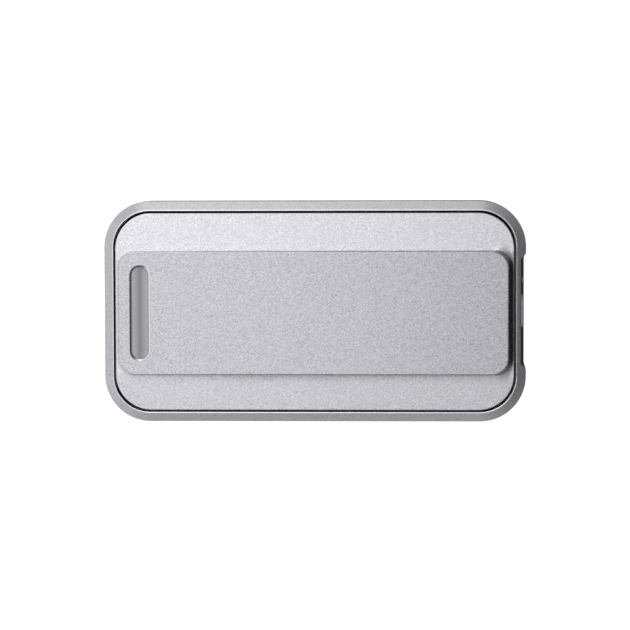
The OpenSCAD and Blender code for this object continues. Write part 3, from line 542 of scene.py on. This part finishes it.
def groove_cutter(arc_steps=28):
    """Cutter for the finger groove: round-ended outlines that shrink down its profile."""
    rings = []
    reach = GROOVE_HALF_LENGTH - GROOVE_HALF_WIDTH
    for half, height in groove_profile():
        ring = []
        for end in (0, 1):
            for i in range(arc_steps + 1):
                angle = math.pi * (end + i / arc_steps)
                x = GROOVE_X + half * math.cos(angle)
                y = PLATEAU_OFFSET + (reach if end == 0 else -reach) + half * math.sin(angle)
                ring.append(Vector((x, y, plateau_z(x) + height)))
        rings.append(ring)
    return loft("groove_cutter", rings)


def make_cover():
    """The cover: a loft from its hollow underside up to the plateau, with bosses and the groove."""
    sections = [cover_section(s) for s in cover_stations()]
    piece = loft("drive_cover", [list(ring) for ring in zip(*sections)])
    roof = COVER_INSIDE_Z + BOSS_OVERLAP
    bosses = [new_rod("boss", sx * SCREW_X, sy * SCREW_Y, POST_TOP_Z, roof, POST_RADIUS)
              for sx, sy in CORNERS]
    pad_low, pad_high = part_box("bridge_thermal_pad")
    bosses.append(new_block("pedestal", (pad_low.x, pad_low.y, pad_high.z), (pad_high.x, pad_high.y, roof)))
    combine(piece, bosses, "UNION")
    cutters = [groove_cutter()]
    for sx, sy in CORNERS:
        cutters.append(new_rod("tapped_hole", sx * SCREW_X, sy * SCREW_Y, POST_TOP_Z - TAP_OVERSHOOT,
                               SCREW_SEAT_Z + TAP_REACH, TAP_RADIUS, sides=32))
    combine(piece, cutters, "DIFFERENCE")
    return piece


# Shader node groups shared by the materials

def new_group(name, inputs, outputs):
    """An empty shader node group with float or vector inputs and outputs."""
    group = bpy.data.node_groups.new(name, "ShaderNodeTree")
    for label, kind, value in inputs:
        socket = group.interface.new_socket(label, in_out="INPUT", socket_type=kind)
        if value is not None:
            socket.default_value = value
    for label, kind in outputs:
        group.interface.new_socket(label, in_out="OUTPUT", socket_type=kind)
    start = group.nodes.new("NodeGroupInput")
    end = group.nodes.new("NodeGroupOutput")
    return group, start, end


def add_math(tree, operation, a, b=None, c=None):
    """A math node whose inputs are numbers or sockets. Returns its output."""
    node = tree.nodes.new("ShaderNodeMath")
    node.operation = operation
    for index, value in enumerate((a, b, c)):
        if value is None:
            continue
        if isinstance(value, (int, float)):
            node.inputs[index].default_value = value
        else:
            tree.links.new(value, node.inputs[index])
    return node.outputs[0]


def blast_group():
    """Bead-blasted grain: one small dent in each cell, each with a tone of its own."""
    group, start, end = new_group(
        "blasted_grain",
        [("Vector", "NodeSocketVector", None), ("Dents per metre", "NodeSocketFloat", 4500.0),
         ("Mottle per metre", "NodeSocketFloat", 900.0)],
        [("Height", "NodeSocketFloat"), ("Tone", "NodeSocketFloat")])
    link = group.links.new
    dents = group.nodes.new("ShaderNodeTexVoronoi")
    link(start.outputs["Vector"], dents.inputs["Vector"])
    link(start.outputs["Dents per metre"], dents.inputs["Scale"])
    link(dents.outputs["Distance"], end.inputs["Height"])
    split = group.nodes.new("ShaderNodeSeparateColor")
    link(dents.outputs["Color"], split.inputs["Color"])
    mottle = group.nodes.new("ShaderNodeTexNoise")
    mottle.inputs["Detail"].default_value = 2.0
    link(start.outputs["Vector"], mottle.inputs["Vector"])
    link(start.outputs["Mottle per metre"], mottle.inputs["Scale"])
    spread = add_math(group, "MULTIPLY", mottle.outputs["Fac"], MOTTLE_SHARE)
    link(add_math(group, "MULTIPLY_ADD", split.outputs["Red"], 1 - MOTTLE_SHARE, spread), end.inputs["Tone"])
    return group


def weave_group():
    """Fine crossed threads, as laminate shows under its mask."""
    group, start, end = new_group(
        "crossed_threads",
        [("Vector", "NodeSocketVector", None), ("Threads per metre", "NodeSocketFloat", 2500.0)],
        [("Height", "NodeSocketFloat"), ("Tone", "NodeSocketFloat")])
    link = group.links.new
    split = group.nodes.new("ShaderNodeSeparateXYZ")
    link(start.outputs["Vector"], split.inputs["Vector"])
    waves = []
    for axis in ("X", "Y"):
        turned = add_math(group, "MULTIPLY", split.outputs[axis], start.outputs["Threads per metre"])
        waves.append(add_math(group, "SINE", turned))
    product = add_math(group, "MULTIPLY", waves[0], waves[1])
    link(add_math(group, "MULTIPLY_ADD", product, 0.5, 0.5), end.inputs["Height"])
    noise = group.nodes.new("ShaderNodeTexNoise")
    noise.inputs["Scale"].default_value = 600
    link(start.outputs["Vector"], noise.inputs["Vector"])
    link(noise.outputs["Fac"], end.inputs["Tone"])
    return group


BLAST = blast_group()
WEAVE = weave_group()


# Materials

def base_material(name, metallic=0.0):
    """A material with its Principled shader and object coordinates ready."""
    material = bpy.data.materials.new(name)
    material.use_nodes = True
    tree = material.node_tree
    shader = tree.nodes["Principled BSDF"]
    shader.inputs["Metallic"].default_value = metallic
    place = tree.nodes.new("ShaderNodeTexCoord")
    return material, tree, shader, place.outputs["Object"]


def tone_colour(tree, shader, tone, dark, light):
    """Base colour between two colours, by a tone from 0 to 1."""
    mix = tree.nodes.new("ShaderNodeMix")
    mix.data_type = "RGBA"
    mix.inputs["A"].default_value = (*dark, 1)
    mix.inputs["B"].default_value = (*light, 1)
    tree.links.new(tone, mix.inputs["Factor"])
    tree.links.new(mix.outputs["Result"], shader.inputs["Base Color"])


def vary_roughness(tree, shader, tone, low, high):
    """Roughness between two values, by a tone from 0 to 1."""
    span = tree.nodes.new("ShaderNodeMapRange")
    span.inputs["To Min"].default_value = low
    span.inputs["To Max"].default_value = high
    tree.links.new(tone, span.inputs["Value"])
    tree.links.new(span.outputs["Result"], shader.inputs["Roughness"])


def add_bump(tree, shader, height, strength, distance):
    """Fine relief from a height."""
    bump = tree.nodes.new("ShaderNodeBump")
    bump.inputs["Strength"].default_value = strength
    bump.inputs["Distance"].default_value = distance
    tree.links.new(height, bump.inputs["Height"])
    tree.links.new(bump.outputs["Normal"], shader.inputs["Normal"])


def grained(name, dark, light, roughness, dents, mottle, strength, distance, metallic=0.0, specular=0.5):
    """A material whose colour, gloss and surface follow the blasted grain."""
    material, tree, shader, place = base_material(name, metallic)
    shader.inputs["Specular IOR Level"].default_value = specular
    grain = tree.nodes.new("ShaderNodeGroup")
    grain.node_tree = BLAST
    grain.inputs["Dents per metre"].default_value = dents
    grain.inputs["Mottle per metre"].default_value = mottle
    tree.links.new(place, grain.inputs["Vector"])
    tone_colour(tree, shader, grain.outputs["Tone"], dark, light)
    vary_roughness(tree, shader, grain.outputs["Tone"], roughness[0], roughness[1])
    add_bump(tree, shader, grain.outputs["Height"], strength, distance)
    return material


def laminate(name, dark, light):
    """Circuit board: solder mask over a woven laminate."""
    material, tree, shader, place = base_material(name)
    weave = tree.nodes.new("ShaderNodeGroup")
    weave.node_tree = WEAVE
    tree.links.new(place, weave.inputs["Vector"])
    tone_colour(tree, shader, weave.outputs["Tone"], dark, light)
    vary_roughness(tree, shader, weave.outputs["Tone"], low=0.25, high=0.4)
    add_bump(tree, shader, weave.outputs["Height"], strength=0.3, distance=0.02 * MM)
    shader.inputs["Coat Weight"].default_value = 0.3
    return material


def painted_shade_groove_material(dark, light):
    """The groove's finer metal, with painted shade that darkens it along its middle."""
    material, tree, shader, place = base_material("groove_fine", metallic=1.0)
    grain = tree.nodes.new("ShaderNodeGroup")
    grain.node_tree = BLAST
    grain.inputs["Dents per metre"].default_value = 5500
    tree.links.new(place, grain.inputs["Vector"])
    split = tree.nodes.new("ShaderNodeSeparateXYZ")
    tree.links.new(place, split.inputs["Vector"])
    # Painted shade: the tone rises from the groove's middle out to its walls
    across = add_math(tree, "ABSOLUTE", add_math(tree, "SUBTRACT", split.outputs["X"], GROOVE_X))
    share = add_math(tree, "MULTIPLY", across, GROOVE_PAINTED_SHADE / GROOVE_HALF_WIDTH)
    tone = add_math(tree, "MULTIPLY_ADD", grain.outputs["Tone"], GROOVE_GRAIN, share)
    tone_colour(tree, shader, tone, dark, light)
    vary_roughness(tree, shader, grain.outputs["Tone"], low=0.26, high=0.32)
    add_bump(tree, shader, grain.outputs["Height"], strength=0.1, distance=0.01 * MM)
    return material


# After the name: dark and light colour, range of roughness, dents and mottle per metre,
# then the relief's strength and depth
MATERIALS = {
    "plateau_blasted": grained("plateau_blasted", (0.235, 0.232, 0.248), (0.585, 0.58, 0.618),
                               (0.24, 0.32), 7000, 1100, 0.3, 0.02 * MM, metallic=1.0),
    "band_blasted": grained("band_blasted", (0.4, 0.396, 0.418), (0.9, 0.894, 0.94),
                            (0.34, 0.42), 7500, 1200, 0.2, 0.02 * MM, metallic=1.0),
    "rim_blasted": grained("rim_blasted", (0.46, 0.455, 0.478), (0.8, 0.795, 0.827),
                           (0.34, 0.42), 7000, 900, 0.2, 0.02 * MM, metallic=1.0),
    "groove_fine": painted_shade_groove_material((0.155, 0.153, 0.163), (0.375, 0.371, 0.393)),
    # Near black with no specular: painted shade on the metal walls down the gap between case and cover
    "shadow_gap": grained("shadow_gap", (0.003, 0.003, 0.003), (0.006, 0.006, 0.006),
                          (0.7, 0.9), 4000, 900, 0.1, 0.01 * MM, specular=0.0),
    # Polished edges: partly a real polish, partly a painted highlight in a colour paler than the rim's
    "polished_edge": grained("polished_edge", (0.86, 0.86, 0.88), (0.92, 0.92, 0.94),
                             (0.26, 0.32), 8000, 2000, 0.03, 0.005 * MM, metallic=1.0),
    "seal_rubber": grained("seal_rubber", (0.004, 0.004, 0.004), (0.008, 0.008, 0.008),
                           (0.6, 0.8), 4000, 800, 0.3, 0.03 * MM, specular=0.1),
    "foot_rubber": grained("foot_rubber", (0.022, 0.022, 0.024), (0.04, 0.04, 0.043),
                           (0.62, 0.82), 2500, 700, 0.5, 0.05 * MM),
    "screw_steel": grained("screw_steel", (0.4, 0.4, 0.41), (0.52, 0.52, 0.53),
                           (0.25, 0.4), 3000, 900, 0.15, 0.02 * MM, metallic=1.0),
    "film_plastic": grained("film_plastic", (0.40, 0.25, 0.05), (0.5, 0.33, 0.07),
                            (0.15, 0.25), 1500, 300, 0.1, 0.02 * MM),
    "board_laminate": laminate("board_laminate", (0.006, 0.055, 0.022), (0.014, 0.085, 0.036)),
    "module_laminate": laminate("module_laminate", (0.004, 0.03, 0.04), (0.012, 0.06, 0.06)),
    "socket_steel": grained("socket_steel", (0.52, 0.52, 0.53), (0.62, 0.62, 0.63),
                            (0.2, 0.3), 3500, 700, 0.1, 0.01 * MM, metallic=1.0),
    "tongue_plastic": grained("tongue_plastic", (0.014, 0.014, 0.015), (0.026, 0.026, 0.028),
                              (0.4, 0.55), 4000, 1200, 0.3, 0.02 * MM),
    "contact_gold": grained("contact_gold", (0.75, 0.5, 0.15), (0.9, 0.66, 0.26),
                            (0.18, 0.28), 5000, 1500, 0.08, 0.01 * MM, metallic=1.0),
    "light_pipe_plastic": grained("light_pipe_plastic", (0.62, 0.63, 0.65), (0.72, 0.73, 0.75),
                                  (0.2, 0.3), 3000, 900, 0.1, 0.01 * MM),
    "lamp_plastic": grained("lamp_plastic", (0.72, 0.7, 0.5), (0.82, 0.8, 0.6),
                            (0.2, 0.3), 3000, 900, 0.1, 0.01 * MM),
    "chip_plastic": grained("chip_plastic", (0.012, 0.012, 0.013), (0.026, 0.026, 0.028),
                            (0.4, 0.6), 3500, 1200, 0.35, 0.02 * MM),
    "crystal_metal": grained("crystal_metal", (0.5, 0.48, 0.42), (0.62, 0.6, 0.54),
                             (0.2, 0.35), 3000, 900, 0.12, 0.01 * MM, metallic=1.0),
    "coil_ferrite": grained("coil_ferrite", (0.06, 0.06, 0.065), (0.11, 0.11, 0.115),
                            (0.5, 0.7), 2500, 700, 0.5, 0.04 * MM),
    "polymer_resin": grained("polymer_resin", (0.28, 0.2, 0.06), (0.38, 0.28, 0.1),
                             (0.25, 0.4), 3000, 900, 0.15, 0.02 * MM),
    "chip_ceramic": grained("chip_ceramic", (0.34, 0.24, 0.14), (0.46, 0.34, 0.2),
                            (0.35, 0.5), 3000, 900, 0.2, 0.02 * MM),
    "thermal_pad": grained("thermal_pad", (0.24, 0.34, 0.42), (0.34, 0.46, 0.54),
                           (0.6, 0.8), 2500, 700, 0.4, 0.04 * MM),
    "spacer_brass": grained("spacer_brass", (0.66, 0.48, 0.2), (0.8, 0.62, 0.3),
                            (0.25, 0.35), 3000, 900, 0.1, 0.01 * MM, metallic=1.0),
}


def dress(piece, names, choose):
    """Gives a piece its materials, and each face the one that a function of the face names."""
    piece.data.materials.clear()
    for name in names:
        piece.data.materials.append(MATERIALS[name])
    for face in piece.data.polygons:
        face.material_index = names.index(choose(face))


def depth_inside(point, end, side, radius):
    """How far a point lies inside a rounded outline, near its edge."""
    near = max(abs(point.x) - (end - radius), 0), max(abs(point.y) - (side - radius), 0)
    return radius - math.hypot(*near)


def case_finish(face):
    """Polished with a painted highlight round the rim's inner edge, painted shade down the gap and blasted
    elsewhere.
    """
    inset = depth_inside(face.center, CASE_END, CASE_SIDE, CORNER_RADIUS)
    above_ledge = face.center.z > LEDGE_Z
    # Painted shade on the rim's wall down the gap
    if RIM_WIDTH - FINISH_MARGIN < inset and above_ledge and abs(face.normal.z) < CASE_WALL_TILT:
        return "shadow_gap"
    # Painted highlight on the rim's rounded inner edge, left off at the recess
    rounded = RIM_WIDTH - RIM_PAINTED_HIGHLIGHT < inset < RIM_WIDTH + FINISH_MARGIN and above_ledge
    at_recess = face.center.x > 0 and abs(face.center.y) < RECESS_HALF + RECESS_SLOPE
    return "polished_edge" if rounded and face.normal.z > 0 and not at_recess else "rim_blasted"


def cover_finish(face):
    """Polished edge with a painted highlight at the low end, fine groove with painted shade and a painted
    highlight on its wall turned to the light, blasted plateau and bands, painted shade down the gap.
    """
    x, y, z = face.center
    inset = depth_inside(face.center, COVER_END, COVER_SIDE, COVER_RADIUS)
    # Painted shade on the cover's wall down the gap
    if inset < EDGE_ROUND and abs(face.normal.z) < COVER_WALL_TILT and z < RIM_Z - SURFACE_MARGIN:
        return "shadow_gap"
    # Painted highlight on the lip at the low end only
    at_low_lip = x < COVER_RADIUS - COVER_END and inset < LOW_END_ROUND and z > LEDGE_Z
    if at_low_lip and LIP_TILT_LOW < face.normal.z < LIP_TILT_HIGH:
        return "polished_edge"
    beyond = max(0.0, abs(y - PLATEAU_OFFSET) - (GROOVE_HALF_LENGTH - GROOVE_HALF_WIDTH))
    in_groove = math.hypot(x - GROOVE_X, beyond) < GROOVE_HALF_WIDTH
    if in_groove and RIM_Z < z < plateau_z(x) - SURFACE_MARGIN:
        # Painted highlight on the groove's wall that is turned to the light
        turned_to_light = face.normal.x < PAINTED_HIGHLIGHT_X and face.normal.y > PAINTED_HIGHLIGHT_Y
        painted_highlight_wall = face.normal.z < PAINTED_HIGHLIGHT_TILT and turned_to_light
        return "polished_edge" if painted_highlight_wall else "groove_fine"
    wall_end, wall_side = (WALL_HIGH, WALL_SIDE) if x > 0 else (0, 0)
    end = PLATEAU_STOP + wall_end if x > 0 else -PLATEAU_START
    inside = depth_inside(Vector((x, y - PLATEAU_OFFSET)), end, PLATEAU_HALF + wall_side,
                          PLATEAU_RADIUS + wall_side) > -FINISH_MARGIN
    return "plateau_blasted" if inside and z > RIM_Z + PLATEAU_FINISH_LOW else "band_blasted"


def dress_frame_nodes():
    """Gives every node that stays from the construction the material its slot names."""
    slots = {part["node"]: part["material_slot"] for part in frame["record"]["subparts"]}
    for name, node in frame["nodes"].items():
        if slots[name] in MATERIALS:
            node.data.materials.clear()
            node.data.materials.append(MATERIALS[slots[name]])


# Floor, light and camera

def make_floor():
    """A pale floor that reads white to the camera and still takes the object's shadow."""
    bpy.ops.object.select_all(action="DESELECT")
    bpy.ops.mesh.primitive_plane_add(size=FLOOR_SIZE, location=(0, 0, 0))
    floor = bpy.context.object
    floor.name = "floor"
    material, tree, shader, _ = base_material("floor_white")
    shader.inputs["Base Color"].default_value = (FLOOR_GREY, FLOOR_GREY, FLOOR_GREY, 1)
    shader.inputs["Roughness"].default_value = 0.9
    rays = tree.nodes.new("ShaderNodeLightPath")
    seen = add_math(tree, "MAXIMUM", rays.outputs["Is Camera Ray"], rays.outputs["Is Glossy Ray"])
    seen = add_math(tree, "MAXIMUM", seen, rays.outputs["Is Transmission Ray"])
    glow = tree.nodes.new("ShaderNodeEmission")
    glow.inputs["Color"].default_value = (1, 1, 1, 1)
    tree.links.new(add_math(tree, "MULTIPLY", seen, FLOOR_GLOW), glow.inputs["Strength"])
    both = tree.nodes.new("ShaderNodeAddShader")
    tree.links.new(shader.outputs["BSDF"], both.inputs[0])
    tree.links.new(glow.outputs["Emission"], both.inputs[1])
    tree.links.new(both.outputs["Shader"], tree.nodes["Material Output"].inputs["Surface"])
    floor.data.materials.append(material)


def add_fade(tree, place, start, stop):
    """A share that rises smoothly from 0 to 1 between two places."""
    fade = tree.nodes.new("ShaderNodeMapRange")
    fade.interpolation_type = "SMOOTHSTEP"
    fade.inputs["From Min"].default_value = start
    fade.inputs["From Max"].default_value = stop
    tree.links.new(place, fade.inputs["Value"])
    return fade.outputs["Result"]


def make_mat():
    """A mat, dark by the socket end, that only reflections in the metal show."""
    bpy.ops.object.select_all(action="DESELECT")
    bpy.ops.mesh.primitive_plane_add(size=MAT_SIZE, location=(0, 0, MAT_HEIGHT))
    mat = bpy.context.object
    mat.name = "dark_mat"
    material, tree, shader, place = base_material("mat_felt")
    split = tree.nodes.new("ShaderNodeSeparateXYZ")
    tree.links.new(place, split.inputs["Vector"])
    socket_end = add_fade(tree, split.outputs["X"], *MAT_FADE_X)
    beside = add_fade(tree, add_math(tree, "ABSOLUTE", split.outputs["Y"]), *MAT_FADE_Y)
    shade = add_math(tree, "MULTIPLY", socket_end, add_math(tree, "SUBTRACT", 1.0, beside))
    tone_colour(tree, shader, shade, [MAT_PALE] * 3, [MAT_DARK] * 3)
    shader.inputs["Roughness"].default_value = 1
    shader.inputs["Specular IOR Level"].default_value = 0
    mat.data.materials.append(material)
    mat.visible_camera = mat.visible_diffuse = mat.visible_shadow = False
    mat.visible_transmission = False


def make_world():
    """Soft surroundings that fade towards the socket end."""
    world = bpy.data.worlds.new("studio")
    bpy.context.scene.world = world
    world.use_nodes = True
    tree = world.node_tree
    place = tree.nodes.new("ShaderNodeTexCoord")
    split = tree.nodes.new("ShaderNodeSeparateXYZ")
    tree.links.new(place.outputs["Generated"], split.inputs["Vector"])
    shade = tree.nodes["Background"]
    shade.inputs["Color"].default_value = (0.985, 0.98, 1.0, 1)
    strength = add_math(tree, "MULTIPLY_ADD", split.outputs["X"], WORLD_FALL, WORLD_MIDDLE)
    tree.links.new(strength, shade.inputs["Strength"])


def facing(away):
    """Turn of a lamp or camera that looks back along a direction, with the long axis level."""
    up = away.cross(Vector((1, 0, 0))).normalized()
    return Matrix((up.cross(away), up, away)).transposed().to_euler()


def add_softbox(name, away, distance, width, height, radiance):
    """A rectangular lamp that faces the object."""
    lamp = bpy.data.lights.new(name, "AREA")
    lamp.shape = "RECTANGLE"
    lamp.size, lamp.size_y = width, height
    lamp.energy = radiance * math.pi * width * height
    holder = bpy.data.objects.new(name, lamp)
    away = Vector(away).normalized()
    holder.location = away * distance
    holder.rotation_euler = facing(away)
    bpy.context.scene.collection.objects.link(holder)


def make_camera():
    """Looks almost straight down, a little from the far side and the socket end."""
    distance = 0.75
    frame_width = 164.5 * MM
    sensor = 36.0
    aim = Vector((0.06 * MM, -1 * MM, 8 * MM))
    lean_x, lean_y = math.radians(2.5), math.radians(3.5)
    away = Vector((math.tan(lean_x), math.tan(lean_y), 1)).normalized()
    camera = bpy.data.cameras.new("camera")
    camera.sensor_width = sensor
    camera.lens = sensor * distance / frame_width
    camera.clip_start, camera.clip_end = 0.05, 20
    holder = bpy.data.objects.new("camera", camera)
    holder.location = aim + away * distance
    holder.rotation_euler = facing(away)
    bpy.context.scene.collection.objects.link(holder)
    bpy.context.scene.camera = holder


make_camera()
make_floor()
make_mat()
make_world()
add_softbox("key_softbox", away=(-0.175, 0.432, 0.885), distance=1.0, width=0.458, height=1.942,
            radiance=1.19)

case = make_case()
dress(case, ["rim_blasted", "polished_edge", "shadow_gap"], case_finish)
finish_piece(case, ["base_shell"])
cover = make_cover()
dress(cover, ["band_blasted", "plateau_blasted", "groove_fine", "polished_edge", "shadow_gap"], cover_finish)
finish_piece(cover, ["top_cover"], angle=24)
dress_frame_nodes()

bpy.context.scene.view_settings.view_transform = "Standard"
